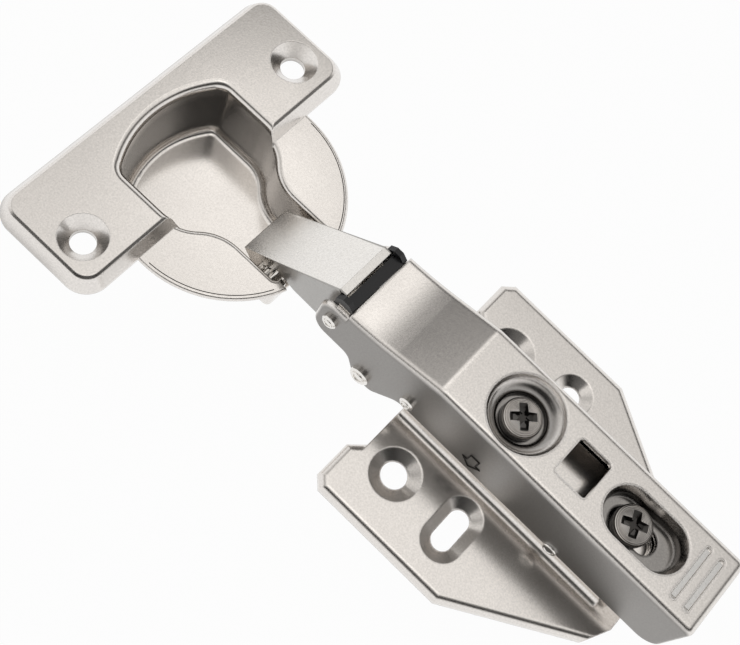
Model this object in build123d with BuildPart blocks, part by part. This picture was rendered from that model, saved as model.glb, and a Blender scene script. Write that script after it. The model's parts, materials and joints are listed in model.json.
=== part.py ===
"""Concealed cup hinge, opened, with its clip-on arm and mounting plate.

Millimetres.  The origin is on the cabinet panel under the mounting plate, midway
between its two rows of screw holes.  +X runs along the arm towards the cup, +Y
across it and +Z away from the panel.
"""

import os
from math import atan2, cos, degrees, hypot, radians, sin, tan

from build123d import *

os.makedirs("parts", exist_ok=True)

# ---------------------------------------------------------------- clearances
running_gap = 0.05  # pin in its hole, on the radius
side_gap = 0.15  # between plates that slide past each other
seat_gap = 0.05  # between pieces that lie on each other
free_gap = 0.3  # between pieces that pass without touching

# ---------------------------------------------------------------- mounting plate
plate_sheet = 1.2
plate_rise = 2.0  # top of the wings over the panel
wing_length = 24.1  # along X, where the wing is widest
wing_front = 12.46
wing_reach = 23.4  # half-width of the flat top
wing_corner = 1.8
tail_back = 32.0  # rear tip of the wings behind the origin
tail_half = 11.2
tail_slant = 2.2  # the tail's end narrows over this length
tail_narrowing = 4.5
skirt_flare = 1.5
skirt_front_flare = 2.4
skirt_start = 14.0  # the front skirt begins this far from the middle
screw_row_x = 6.13
screw_row_y = 14.68
screw_hole_r = 2.22
screw_sink_r = 4.37
screw_sink_depth = 1.04
slot_travel = 4.1  # length of the adjusting slots between their end centres
slot_r = 1.81
slot_sink_r = 3.68
slot_sink_travel = 4.64
box_top = 5.2
box_back = 30.5
box_blend = 1.5
box_edge_r = 0.8
box_margin = 0.1  # the box stands out beyond the adapter on each side
hook_x = 5.4  # hooks that take the arm's front pin
hook_height = 4.6
hook_half = 2.3
front_pin_r = 1.2
hook_sheet = 1.2
hook_y = 3.2
hook_corner = 1.0

# ---------------------------------------------------------------- arm
arm_sheet = 1.0
arm_half = 7.45
arm_top = 20.04
arm_back = 40.5
arm_bend_x = 9.96
arm_edge_r = 1.0
arm_end_r = 1.2  # rear edge of the top
arm_bend_r = 4.0  # cross bend
arm_skirt_z = 5.6  # lower edge of the side plates
nose_slope = 14.0  # degrees down, in front of the cross bend
nose_run = 8.6
nose_front = 27.66
nose_front_z = 16.45
ear_front = 32.66
ear_top = 15.0
ear_low = 5.0
ear_r = 3.0
lobe_low = 0.6
lobe_r = 2.3
lobe_ahead = 1.4  # the lobe's corners, from the inner link's rivet
lobe_behind = 2.9
lobe_root_ahead = 3.9
lobe_root_behind = 7.4
lobe_front_r = 1.6
lobe_heel_r = 3.0
rear_r = 3.5
front_pivot_x = 29.76  # rivet of the outer link
front_pivot_z = 11.26
rear_pivot_x = 20.96  # rivet of the inner link
rear_pivot_z = 3.91
spring_pivot_x = 12.56
spring_pivot_z = 9.33
dish_x = -1.34
dish_r = 6.44
dish_hole_r = 4.1
dish_depth = 3.6
slot_dish_x = -25.56
slot_dish_length = 15.3
slot_dish_half = 4.5
slot_dish_floor_half = 3.75
window_x = -12.81
window_length = 6.15
window_width = 7.2
window_corner = 0.7
rib_x = -34.64
rib_pitch = 2.6
rib_half = 5.1
rib_r = 0.52
dimple_x = -18.74
dimple_z = 6.9
dimple_r = 1.4
dimple_height = 0.4
dimple_slope = 30

# ---------------------------------------------------------------- cup
cup_x = 57.46  # middle of the disc, on the plane of the flange's top
cup_z = 6.09
cup_tilt = 2.59
cup_sheet = 0.9
disc_r = 19.62
disc_level = 2.46  # top of the disc under the flange's top
disc_sheet = 0.62
flange_front = 2.45
flange_back = 20.9
flange_half = 29.25
flange_bevel = 0.35
flange_flare = 1.5
flange_corner = 2.8
flange_hole_s = 8.56
flange_hole_y = 24.0
flange_hole_r = 2.12
flange_sink_r = 4.07
flange_sink_depth = 2.09
bowl_side = 11.8
bowl_apex_inset = 2.47  # from the disc's edge to the rear of the bowl
bowl_rear_r = 19.5
bowl_rear_corner = 2.6
bowl_neck = 6.6
bowl_neck_s = -8.2
neck_corner = 1.0
bowl_wide_s = 4.0
bowl_front_inset = 2.22  # from the disc's edge to the front of its neck
bowl_floor = 13.4
bowl_draft = 4.0
bowl_lip = 1.4
disc_lip = 0.9
bowl_floor_r = 1.2
neck_wall_top = 6.2
notch_half = 3.9
notch_floor = 10.9
notch_reach = 3.0  # how far the notch and the mouth reach into the bowl
mouth_reach = 4.0
mouth_step = 0.5  # the mouth is narrower than the neck on each side

# ---------------------------------------------------------------- linkage
pin_r = 0.9
pin_stand_out = 0.2  # of the cup's pins beyond the neck
pin_bevel = 0.15
outer_pin_set = 5.0  # pin of the outer link, from the front of the bowl
outer_pin_depth = 7.2
inner_pin_set = 3.1
inner_pin_depth = 4.8
link_sheet = 1.0
link_back_x = 31.56
link_back_z = 16.65
link_front_x = 48.86
link_front_z = 1.7
link_play = 1.1  # between the outer link and the arm's side plates
guide_play = 0.1  # between the outer link and the front guide
link_narrowing = 0.5
link_eye_r = 2.6
link_boss_r = 1.6
flange_chin_x = 8.3  # lower corners of the link's side flanges, from its rivet
flange_chin_z = 7.7
flange_heel_x = 2.9
flange_heel_z = 7.6
inner_play = 0.45
inner_eye_r = 2.3
inner_web = 1.25
eye_wall = 0.6
eye_slack_back = 1.2  # travel of the cup pin in the slotted eye
eye_slack_across = 0.2

# ---------------------------------------------------------------- rivets
rivet_r = 1.0
front_rivet_head_r = 1.35
rear_rivet_head_r = 1.8
spring_rivet_head_r = 1.3
rivet_head = 0.85

# ---------------------------------------------------------------- inside the arm
adapter_play = 0.25  # between the arm and the adapter, on each side
adapter_sheet = 1.0
adapter_top = 13.6
adapter_front = 9.3
adapter_back = 36.2
adapter_heel = 1.6
slide_sheet = 0.7
slide_inset = 0.8  # slide plate narrower than the adapter
slide_front = 4.6
slide_back = 30.6
slide_corner = 1.5
travel_back = 1.5  # depth adjustment of the arm
travel_front = 3.0
cam_x = -24.14
screw_head_r = 3.3
screw_head_drop = 1.9  # crown of the heads under the arm's top
screw_dome = 0.5
head_gap = 0.2  # lets the arm rock under the heads
pad_length = 2.4  # ridge that the arm rocks on
screw_neck_r = 2.0
cross_width = 1.0
cross_depth = 1.5
cross_taper = 8
screw_tip = 0.8  # bevel of the screws' ends
boss_wall = 1.2
overlay_screw_tip = 6.9
lever_pin_x = -33.2
lever_pin_z = 9.6
lever_pin_r = 1.2
lever_eye_r = 2.3
lever_thick = 1.6
lever_nose = 1.3
damper_r = 2.3
damper_z = 12.7
damper_front = 25.2
damper_length = 8.6
damper_rod_r = 0.7
damper_rod_reach = 2.6
damper_wall = 0.6
damper_tube = 0.5
damper_cap = 1.2
damper_piston = 1.6
damper_head = 0.8  # head of the damper's rod
damper_bevel = 0.25
damper_corner = 1.2
guide_bar_x = 27.8
guide_bar_width = 1.6
guide_bar_low = 14.2
guide_bar_top = 16.3
guide_ear_front = 31.2
guide_ear_back = 27.8
guide_ear_top = 17.3
guide_ear_drop = 1.2  # the ears reach this far below the bar
guide_ear_bevel = 1.1
guide_ear_chin = 2.0
tab_length = 2.3
tab_x = 28.0
tab_top = 15.6
guide_tab_height = 1.9
guide_tab_sheet = 0.45
spring_coil_r = 2.3
spring_wire_r = 0.5
spring_turns = 6
spring_leg = 6.6  # leg that presses on the inner link
spring_leg_turn = 0.11  # share of a turn by which that leg leaves the coil early
coil_pitch = 2.15  # rise of a turn, in radii of the wire
lever_coil_r = 1.75
lever_wire_r = 0.3
lever_turns = 4
lever_leg_turn = 0.25


# ---------------------------------------------------------------- worked-out places
adapter_half = arm_half - arm_sheet - adapter_play
box_half = adapter_half + box_margin
slide_half = adapter_half - slide_inset
lever_half = adapter_half - adapter_sheet - free_gap
link_back_half = arm_half - arm_sheet - link_play
link_front_half = link_back_half - link_narrowing
inner_half = link_front_half - link_sheet - inner_play
hook_pin_z = box_top + hook_height * 0.58
dish_floor_z = arm_top - dish_depth
slide_low = adapter_top + seat_gap
slide_pad_top = dish_floor_z - arm_sheet - seat_gap
head_seat = dish_floor_z + head_gap
head_crown = arm_top - screw_head_drop
boss_r = screw_neck_r + boss_wall
collar_r = boss_r - free_gap
door_face = -disc_level - disc_sheet
bowl_apex = disc_r - bowl_apex_inset
bowl_front = bowl_front_inset - disc_r
outer_pin_s = bowl_front + outer_pin_set
inner_pin_s = bowl_front + inner_pin_set


# ---------------------------------------------------------------- frames
def side_plane(y=0.0):
    """X-Z plane at y, drawn with X to the right and Z up; it extrudes towards -Y."""
    return Plane(origin=(0, y, 0), x_dir=(1, 0, 0), z_dir=(0, -1, 0))


cup_plane = Plane(
    origin=(cup_x, 0, cup_z),
    x_dir=(cos(radians(cup_tilt)), 0, -sin(radians(cup_tilt))),
    z_dir=(sin(radians(cup_tilt)), 0, cos(radians(cup_tilt))),
)


def cup_point(s, depth):
    """X and Z of a point of the cup's side view, given as s along it and its depth."""
    point = cup_plane.from_local_coords((s, 0, -depth))
    return point.X, point.Z


outer_pin = cup_point(outer_pin_s, outer_pin_depth)
inner_pin = cup_point(inner_pin_s, inner_pin_depth)
front_pivot = (front_pivot_x, front_pivot_z)
rear_pivot = (rear_pivot_x, rear_pivot_z)
spring_pivot = (spring_pivot_x, spring_pivot_z)


# ---------------------------------------------------------------- mounting plate
def wing_outline(grow_side, grow_front):
    """Half outline of both wings together, grown outwards by a flare."""
    reach = wing_reach + grow_side
    front = wing_front
    back = wing_front - wing_length
    tail = -tail_back - grow_side * 0.5
    with BuildLine() as outline:
        Polyline(
            (front, 0),
            (front, skirt_start),
            (front + grow_front, skirt_start + grow_front),
            (front + grow_front, reach - wing_corner),
            (front + grow_front - wing_corner, reach),
            (back, reach),
            (tail, tail_half + grow_side),
            (tail - tail_slant, tail_half - tail_narrowing + grow_side),
            (tail - tail_slant, 0),
            close=True,
        )
    return outline


with BuildPart() as mounting_plate:
    with BuildSketch() as foot:
        add(wing_outline(skirt_flare, skirt_front_flare))
        make_face()
        mirror(about=Plane.XZ)
    extrude(amount=plate_rise)
    rolled = mounting_plate.faces().sort_by(Axis.Z)[-1].edges().filter_by(
        lambda e: abs(e.center().Y) > skirt_start
    )
    fillet(rolled, skirt_flare * 0.9)
    # raised box under the arm, blended into the wings and open behind
    with BuildSketch(Plane.YZ.offset(-box_back)) as box_section:
        with BuildLine():
            wing_end = (box_half + box_blend, plate_rise)
            wall_foot = (box_half, plate_rise + box_blend)
            Line((0, plate_rise - plate_sheet), (wing_end[0], plate_rise - plate_sheet))
            Line((wing_end[0], plate_rise - plate_sheet), wing_end)
            RadiusArc(wing_end, wall_foot, box_blend)
            Line(wall_foot, (box_half, box_top))
            Line((box_half, box_top), (0, box_top))
            Line((0, box_top), (0, plate_rise - plate_sheet))
        make_face()
        fillet(box_section.vertices().group_by(Axis.Y)[-1].sort_by(Axis.X)[-1], box_edge_r)
        mirror(about=Plane.YZ)
    extrude(amount=box_back + wing_front)
    # the sheet is hollow underneath
    with BuildSketch() as hollow:
        add(wing_outline(skirt_flare - plate_sheet, skirt_front_flare - plate_sheet))
        make_face()
        mirror(about=Plane.XZ)
    extrude(amount=plate_rise - plate_sheet, mode=Mode.SUBTRACT)
    with BuildSketch():
        with Locations((wing_front, 0)):
            Rectangle(4 * tail_back, 2 * (box_half - plate_sheet))
    extrude(amount=box_top - plate_sheet, mode=Mode.SUBTRACT)
    # two hooks for the front pin of the arm, open towards the cup
    with BuildSketch(side_plane()) as hook:
        with Locations((hook_x, box_top + hook_height / 2 - plate_sheet / 2)):
            Rectangle(2 * hook_half, hook_height + plate_sheet)
        fillet(hook.vertices().group_by(Axis.Y)[-1], hook_corner)
        with Locations((hook_x + hook_half, hook_pin_z)):
            SlotCenterToCenter(2 * hook_half, 2 * (front_pin_r + running_gap), mode=Mode.SUBTRACT)
    extrude(amount=hook_y + hook_sheet / 2, both=True)
    with BuildSketch(Plane.XY.offset(box_top)):
        with Locations((hook_x, 0)):
            Rectangle(4 * hook_half, 2 * hook_y - hook_sheet)
    extrude(amount=2 * hook_height, mode=Mode.SUBTRACT)
    # screw holes: round in front, slotted across behind
    with Locations(*[(screw_row_x, side * screw_row_y, plate_rise) for side in (-1, 1)]):
        sink_angle = degrees(2 * atan2(screw_sink_r - screw_hole_r, screw_sink_depth))
        CounterSinkHole(screw_hole_r, screw_sink_r, plate_rise, sink_angle)
    for side in (-1, 1):
        with BuildSketch(Plane.XY.offset(plate_rise)):
            with Locations((-screw_row_x, side * screw_row_y)):
                SlotCenterToCenter(slot_sink_travel, 2 * slot_sink_r, rotation=90)
        with BuildSketch(Plane.XY.offset(plate_rise - screw_sink_depth)):
            with Locations((-screw_row_x, side * screw_row_y)):
                SlotCenterToCenter(slot_travel, 2 * slot_r, rotation=90)
        loft(mode=Mode.SUBTRACT)
        with BuildSketch():
            with Locations((-screw_row_x, side * screw_row_y)):
                SlotCenterToCenter(slot_travel, 2 * slot_r, rotation=90)
        extrude(amount=plate_rise, mode=Mode.SUBTRACT)
mounting_plate.part.label = "mounting_plate"
export_step(mounting_plate.part, "parts/mounting_plate.step")

# ---------------------------------------------------------------- arm
nose_start_z = arm_top - nose_run * tan(radians(nose_slope))


def arm_side(drop=0.0, rounded=True):
    """Side view of the arm; drop lowers the line of its top."""
    top = arm_top - drop
    nose_mid = (arm_bend_x + nose_run, nose_start_z - drop)
    nose_end = (nose_front, nose_front_z - drop)
    lobe_front = rear_pivot_x + lobe_ahead
    lobe_back = rear_pivot_x - lobe_behind
    lobe_root_front = rear_pivot_x + lobe_root_ahead
    lobe_root_back = rear_pivot_x - lobe_root_behind
    corners = {
        (-arm_back, arm_skirt_z): rear_r,
        (-arm_back, top): arm_end_r,
        (arm_bend_x, top): arm_bend_r,
        (ear_front, ear_top): ear_r,
        (ear_front, ear_low): ear_r,
        (lobe_root_front, ear_low): lobe_front_r,
        (lobe_front, lobe_low): lobe_r,
        (lobe_back, lobe_low): lobe_r,
        (lobe_root_back, arm_skirt_z): lobe_heel_r,
    }
    with BuildSketch(side_plane()) as view:
        with BuildLine():
            Polyline((-arm_back, arm_skirt_z), (-arm_back, top), (arm_bend_x, top), nose_mid)
            slope = radians(nose_slope)
            TangentArc(nose_mid, nose_end, tangent=(cos(slope), -sin(slope)))
            Polyline(
                nose_end,
                (nose_front, ear_top),
                (ear_front, ear_top),
                (ear_front, ear_low),
                (lobe_root_front, ear_low),
                (lobe_front, lobe_low),
                (lobe_back, lobe_low),
                (lobe_root_back, arm_skirt_z),
                (-arm_back, arm_skirt_z),
            )
        make_face()
        if rounded:
            for (x, z), radius in corners.items():
                fillet(view.vertices().sort_by_distance((x, z, 0))[0], radius)
    return view


with BuildPart() as arm_body:
    extrude(arm_side().sketch, amount=arm_half, both=True)
    bend_edges = arm_body.edges().filter_by(
        lambda e: abs(abs(e.center().Y) - arm_half) < 0.01
        and e.center().Z > ear_top + 0.5
        and -arm_back + 1 < e.center().X < nose_front - 0.3
    )
    fillet(bend_edges, arm_edge_r)
    # inside of the folded sheet, open below and at both ends
    inside = arm_side(arm_sheet, rounded=False).sketch
    extrude(inside, amount=arm_half - arm_sheet, both=True, mode=Mode.SUBTRACT)
    with BuildSketch(Plane.XY):
        with Locations(((ear_front - arm_back) / 2, 0)):
            Rectangle(ear_front + arm_back, 2 * (arm_half - arm_sheet))
    extrude(amount=arm_skirt_z + rear_r, mode=Mode.SUBTRACT)
    with BuildSketch(Plane.XY):
        with Locations((nose_front + ear_front / 2, 0)):
            Rectangle(ear_front, 2 * (arm_half - arm_sheet))
        with Locations((-arm_back, 0)):
            Rectangle(2 * arm_end_r, 2 * (arm_half - arm_sheet))
    extrude(amount=arm_top - arm_sheet, mode=Mode.SUBTRACT)
    # round dish of the overlay screw, pressed down from the top
    with Locations((dish_x, 0, arm_top - arm_sheet - dish_depth / 2)):
        Cone(dish_hole_r + arm_sheet, dish_r - 0.4 * arm_sheet, dish_depth)
    with BuildSketch(side_plane()) as dish_void:
        with BuildLine():
            rim = (dish_x + dish_r, arm_top)
            step = (dish_x + (dish_r + dish_hole_r) / 2, arm_top - dish_depth * 0.42)
            throat = (dish_x + dish_hole_r, arm_top - dish_depth * 0.7)
            Line((dish_x, arm_top), rim)
            RadiusArc(rim, step, dish_r * 0.5)
            RadiusArc(step, throat, -dish_r * 0.5)
            Polyline(throat, (dish_x + dish_hole_r, dish_floor_z), (dish_x, dish_floor_z), (dish_x, arm_top))
        make_face()
    revolve(axis=Axis((dish_x, 0, 0), (0, 0, 1)), mode=Mode.SUBTRACT)
    with Locations((dish_x, 0, dish_floor_z)):
        Hole(screw_neck_r + side_gap, depth=2 * arm_sheet)
    # long dish of the depth screw
    long_dish = slot_dish_length - 2 * slot_dish_half
    wall_slope = degrees(atan2(slot_dish_half - slot_dish_floor_half, dish_depth / 2))
    with BuildSketch(Plane.XY.offset(dish_floor_z - arm_sheet)):
        with Locations((slot_dish_x, 0)):
            SlotCenterToCenter(long_dish, 2 * (slot_dish_floor_half + arm_sheet))
    extrude(amount=dish_depth)
    with BuildSketch(Plane.XY.offset(arm_top)):
        with Locations((slot_dish_x, 0)):
            SlotCenterToCenter(long_dish, 2 * slot_dish_half)
    extrude(amount=-dish_depth / 2, taper=wall_slope, mode=Mode.SUBTRACT)
    with BuildSketch(Plane.XY.offset(arm_top)):
        with Locations((slot_dish_x, 0)):
            SlotCenterToCenter(long_dish, 2 * slot_dish_floor_half)
    extrude(amount=-dish_depth, mode=Mode.SUBTRACT)
    with BuildSketch(Plane.XY.offset(arm_top)):
        with Locations((cam_x + (travel_back - travel_front) / 2, 0)):
            SlotCenterToCenter(travel_back + travel_front, 2 * (screw_neck_r + side_gap))
    extrude(amount=-2 * dish_depth, mode=Mode.SUBTRACT)
    # window between the dishes and grip grooves at the rear
    with BuildSketch(Plane.XY.offset(arm_top)):
        with Locations((window_x, 0)):
            RectangleRounded(window_length, window_width, window_corner)
    extrude(amount=-2 * arm_sheet, mode=Mode.SUBTRACT)
    with BuildSketch(Plane.XY.offset(arm_top)):
        with Locations((rib_x, 0), (rib_x - rib_pitch, 0)):
            SlotOverall(2 * rib_half, 2 * rib_r, rotation=90)
    extrude(amount=-0.35 * arm_sheet, mode=Mode.SUBTRACT)
    # pivots, and the dimple on each side plate
    with BuildSketch(side_plane()):
        with Locations(front_pivot, rear_pivot, spring_pivot):
            Circle(rivet_r)
    extrude(amount=arm_half, both=True, mode=Mode.SUBTRACT)
    for side in (-1, 1):
        with BuildSketch(side_plane(side * arm_half)):
            with Locations((dimple_x, dimple_z)):
                Circle(dimple_r)
        extrude(amount=-side * dimple_height, taper=dimple_slope)
arm_body.part.label = "arm_body"
export_step(arm_body.part, "parts/arm_body.step")


# ---------------------------------------------------------------- cup
def bowl_outline(grow, front):
    """Bowl seen from above, grown outwards; front is where its neck ends."""
    side = bowl_side + grow
    neck = bowl_neck + grow
    rear_r = bowl_rear_r + grow
    rear_middle = bowl_apex + grow - rear_r
    corner_s = rear_middle + (rear_r**2 - side**2) ** 0.5
    with BuildSketch() as outline:
        with BuildLine():
            neck_end = (bowl_neck_s, neck)
            bend = ((bowl_neck_s + bowl_wide_s) / 2, (neck + side) / 2)
            side_start = (bowl_wide_s, side)
            Polyline((front, 0), (front, neck), neck_end)
            TangentArc(neck_end, bend, tangent=(1, 0))
            TangentArc(side_start, bend, tangent=(-1, 0))
            Line(side_start, (corner_s, side))
            RadiusArc((corner_s, side), (bowl_apex + grow, 0), rear_r)
            Line((bowl_apex + grow, 0), (front, 0))
        make_face()
        fillet(outline.vertices().sort_by_distance((corner_s, side, 0))[0], bowl_rear_corner + grow)
        fillet(outline.vertices().sort_by_distance((front, neck, 0))[0], neck_corner + grow)
        mirror(about=Plane.XZ)
    return outline.sketch


def flange_outline(grow):
    """Raised flange seen from above, grown outwards."""
    with BuildSketch() as outline:
        with Locations(((flange_front + flange_back) / 2, 0)):
            RectangleRounded(
                flange_back - flange_front + 2 * grow,
                2 * (flange_half + grow),
                flange_corner + grow,
            )
    return outline.sketch


def on_opening(edge, level):
    """True for an edge of the bowl's opening that lies at a level of the cup."""
    local = cup_plane.to_local_coords(edge.center())
    along = bowl_front - cup_sheet < local.X < bowl_apex + cup_sheet
    return along and abs(local.Y) < bowl_side + 0.01 and abs(local.Z - level) < 0.02


flare_angle = degrees(atan2(flange_flare, disc_level))
hole_spots = [(flange_hole_s, side * flange_hole_y) for side in (-1, 1)]

with BuildPart() as hinge_cup:
    # half disc that covers the bored edge, and the raised flange
    with BuildSketch(cup_plane.offset(door_face)):
        Circle(disc_r)
    extrude(amount=disc_sheet)
    fillet(hinge_cup.edges().group_by(Axis(cup_plane.origin, cup_plane.z_dir))[-1], disc_sheet * 0.8)
    with BuildSketch(cup_plane.offset(door_face)):
        add(flange_outline(flange_flare))
    extrude(amount=disc_sheet)
    with BuildSketch(cup_plane.offset(-disc_level)):
        add(flange_outline(flange_flare))
    extrude(amount=disc_level, taper=flare_angle)
    flange_rim = hinge_cup.faces().sort_by(Axis(cup_plane.origin, cup_plane.z_dir))[-1].edges()
    chamfer(flange_rim, flange_bevel)
    # the flange is hollow underneath, apart from the bowl and the screw dimples
    with BuildSketch(cup_plane.offset(door_face)):
        add(flange_outline(flange_flare - cup_sheet * 1.4))
        add(bowl_outline(cup_sheet, bowl_front), mode=Mode.SUBTRACT)
        with Locations(*hole_spots):
            Circle(flange_sink_r + cup_sheet, mode=Mode.SUBTRACT)
    extrude(amount=-door_face - cup_sheet, mode=Mode.SUBTRACT)
    # drawn bowl
    with BuildSketch(cup_plane.offset(-disc_level)):
        add(bowl_outline(cup_sheet - disc_level * tan(radians(bowl_draft)), bowl_front))
    extrude(amount=-(bowl_floor + cup_sheet - disc_level), taper=bowl_draft)
    bowl_foot = hinge_cup.faces().sort_by(Axis(cup_plane.origin, cup_plane.z_dir))[0].edges()
    fillet(bowl_foot, bowl_floor_r + cup_sheet)
    with BuildSketch(cup_plane):
        add(bowl_outline(0, bowl_front + cup_sheet))
    extrude(amount=-bowl_floor, taper=bowl_draft, mode=Mode.SUBTRACT)
    floor_edges = (
        hinge_cup.edges()
        .filter_by(lambda e: abs(cup_plane.to_local_coords(e.center()).Z + bowl_floor) < 0.01)
    )
    fillet(floor_edges, bowl_floor_r)
    # rolled lips of the opening, in the flange and in the disc
    for level, radius in ((0, bowl_lip), (-disc_level, disc_lip)):
        lip_edges = hinge_cup.edges().filter_by(lambda e: on_opening(e, level))
        fillet(lip_edges, radius)
    # mouth for the links, through the front of the disc and the top of the front wall
    with BuildSketch(cup_plane.offset(-neck_wall_top)):
        with Locations((bowl_front - disc_r / 2, 0)):
            Rectangle(disc_r + 2 * mouth_reach, 2 * (bowl_neck - mouth_step))
    extrude(amount=neck_wall_top, mode=Mode.SUBTRACT)
    with BuildSketch(cup_plane.offset(-notch_floor)):
        with Locations((bowl_front, 0)):
            Rectangle(2 * notch_reach, 2 * notch_half)
    extrude(amount=notch_floor, mode=Mode.SUBTRACT)
    # countersunk screw holes in their dimples
    sink_angle = degrees(2 * atan2(flange_sink_r - flange_hole_r, flange_sink_depth))
    for spot in hole_spots:
        with Locations(cup_plane.location * Location((*spot, 0))):
            CounterSinkHole(flange_hole_r, flange_sink_r, -door_face, sink_angle)
    # holes of the two pins
    with BuildSketch(side_plane()):
        with Locations(outer_pin, inner_pin):
            Circle(pin_r)
    extrude(amount=bowl_side, both=True, mode=Mode.SUBTRACT)
hinge_cup.part.label = "hinge_cup"
export_step(hinge_cup.part, "parts/hinge_cup.step")


def neck_half(depth):
    """Half-width of the bowl's neck, outside, at a depth under the flange's top."""
    return bowl_neck + cup_sheet - depth * tan(radians(bowl_draft))


# the outer link turns on two short pins, the inner link on one across the neck
for name, place, depth, inner_end in (
    ("outer_cup_pin", outer_pin, outer_pin_depth, link_front_half - link_sheet - side_gap),
    ("inner_cup_pin", inner_pin, inner_pin_depth, 0),
):
    with BuildPart() as cup_pin:
        with BuildSketch(side_plane()):
            with Locations(place):
                Circle(pin_r)
        extrude(amount=neck_half(depth) + pin_stand_out, both=True)
        chamfer(cup_pin.edges().filter_by(GeomType.CIRCLE), pin_bevel)
        if inner_end > 0:
            with BuildSketch(side_plane()):
                with Locations(place):
                    Circle(2 * pin_r)
            extrude(amount=inner_end, both=True, mode=Mode.SUBTRACT)
    cup_pin.part.label = name
    export_step(cup_pin.part, f"parts/{name}.step")

# ---------------------------------------------------------------- links
link_run = hypot(link_front_x - link_back_x, link_front_z - link_back_z)
link_along = ((link_front_x - link_back_x) / link_run, (link_front_z - link_back_z) / link_run)
link_up = (-link_along[1], link_along[0])
link_plane = Plane(
    origin=(link_back_x, 0, link_back_z),
    x_dir=(link_along[0], 0, link_along[1]),
    z_dir=(link_up[0], 0, link_up[1]),
)


def link_trapezoid(inset):
    """The outer link's width seen square to its plate, narrowing to the front."""
    narrowing = (link_back_half - link_front_half) / link_run
    spare = 12.0
    back = link_back_half - inset + narrowing * spare
    front = link_front_half - inset - narrowing * spare
    with BuildSketch(link_plane) as view:
        with BuildLine():
            Polyline(
                (-spare, back),
                (link_run + spare, front),
                (link_run + spare, -front),
                (-spare, -back),
                close=True,
            )
        make_face()
    return view.sketch


def link_point(back, depth):
    """A point of the side flange, behind the link's front edge and below its plate."""
    x = link_front_x - back * link_along[0] - depth * link_up[0]
    z = link_front_z - back * link_along[1] - depth * link_up[1]
    return x, z


def in_link(point):
    """Distance of a point behind the link's front edge, and below its plate."""
    x, z = point[0] - link_front_x, point[1] - link_front_z
    back = -(x * link_along[0] + z * link_along[1])
    depth = -(x * link_up[0] + z * link_up[1])
    return back, depth


outer_back, outer_down = in_link(outer_pin)
inner_back, inner_down = in_link(inner_pin)
band = inner_down - pin_r - free_gap  # flange that passes over the inner pin
with BuildPart() as outer_link:
    with BuildSketch(side_plane()):
        with BuildLine():
            Polyline(
                (link_back_x, link_back_z),
                (link_front_x, link_front_z),
                link_point(0, link_sheet),
                link_point(outer_back - link_boss_r, outer_down),
                link_point(outer_back + link_boss_r, outer_down),
                link_point(outer_back + link_boss_r, band),
                link_point(inner_back + pin_r + link_boss_r, band),
                (front_pivot_x + flange_chin_x, front_pivot_z - flange_chin_z),
                (front_pivot_x + flange_heel_x, front_pivot_z - flange_heel_z),
                (front_pivot_x - link_eye_r, front_pivot_z - 0.4 * link_eye_r),
                front_pivot,
                link_point(link_run, link_sheet),
                close=True,
            )
        make_face()
        with Locations(front_pivot):
            Circle(link_eye_r)
        with Locations(outer_pin):
            Circle(link_boss_r)
    extrude(amount=2 * link_back_half, both=True)
    extrude(link_trapezoid(0), amount=2 * link_run, both=True, mode=Mode.INTERSECT)
    with BuildSketch(side_plane()):
        with Locations(front_pivot):
            Circle(rivet_r + running_gap)
        with Locations(outer_pin):
            Circle(pin_r + running_gap)
    extrude(amount=2 * link_back_half, both=True, mode=Mode.SUBTRACT)
    inside = link_trapezoid(link_sheet).moved(Location(link_plane.z_dir * -link_sheet))
    extrude(inside, amount=-2 * link_run, mode=Mode.SUBTRACT)
outer_link.part.label = "outer_link"
export_step(outer_link.part, "parts/outer_link.step")

inner_run = hypot(inner_pin[0] - rear_pivot_x, inner_pin[1] - rear_pivot_z)
inner_plane = Plane(
    origin=(rear_pivot_x, 0, rear_pivot_z),
    x_dir=(inner_pin[0] - rear_pivot_x, 0, inner_pin[1] - rear_pivot_z),
    z_dir=(0, -1, 0),
)
with BuildPart() as inner_link:
    with BuildSketch(inner_plane) as inner_view:
        Circle(inner_eye_r)
        with Locations((inner_run / 2, 0)):
            Rectangle(inner_run, 2 * inner_web)
        with Locations((inner_run - eye_slack_back / 2, 0)):
            SlotCenterToCenter(eye_slack_back, 2 * (pin_r + eye_slack_across + eye_wall))
        Circle(rivet_r + running_gap, mode=Mode.SUBTRACT)
        with Locations((inner_run - eye_slack_back / 2, 0)):
            SlotCenterToCenter(
                eye_slack_back,
                2 * (pin_r + eye_slack_across),
                mode=Mode.SUBTRACT,
            )
    extrude(amount=inner_half, both=True)
inner_link.part.label = "inner_link"
export_step(inner_link.part, "parts/inner_link.step")

# ---------------------------------------------------------------- rivets of the arm
for name, pivot, head_r in (
    ("front_rivet", front_pivot, front_rivet_head_r),
    ("rear_rivet", rear_pivot, rear_rivet_head_r),
    ("spring_rivet", spring_pivot, spring_rivet_head_r),
):
    with BuildPart() as rivet:
        with BuildSketch(side_plane()):
            with Locations(pivot):
                Circle(rivet_r)
        extrude(amount=arm_half, both=True)
        for side in (-1, 1):
            with BuildSketch(side_plane(side * arm_half)):
                with Locations(pivot):
                    Circle(head_r)
            extrude(amount=-side * rivet_head)
            crown = rivet.faces().sort_by(Axis.Y)[-1 if side > 0 else 0]
            chamfer(crown.edges(), rivet_head * 0.3)
    rivet.part.label = name
    export_step(rivet.part, f"parts/{name}.step")

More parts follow.
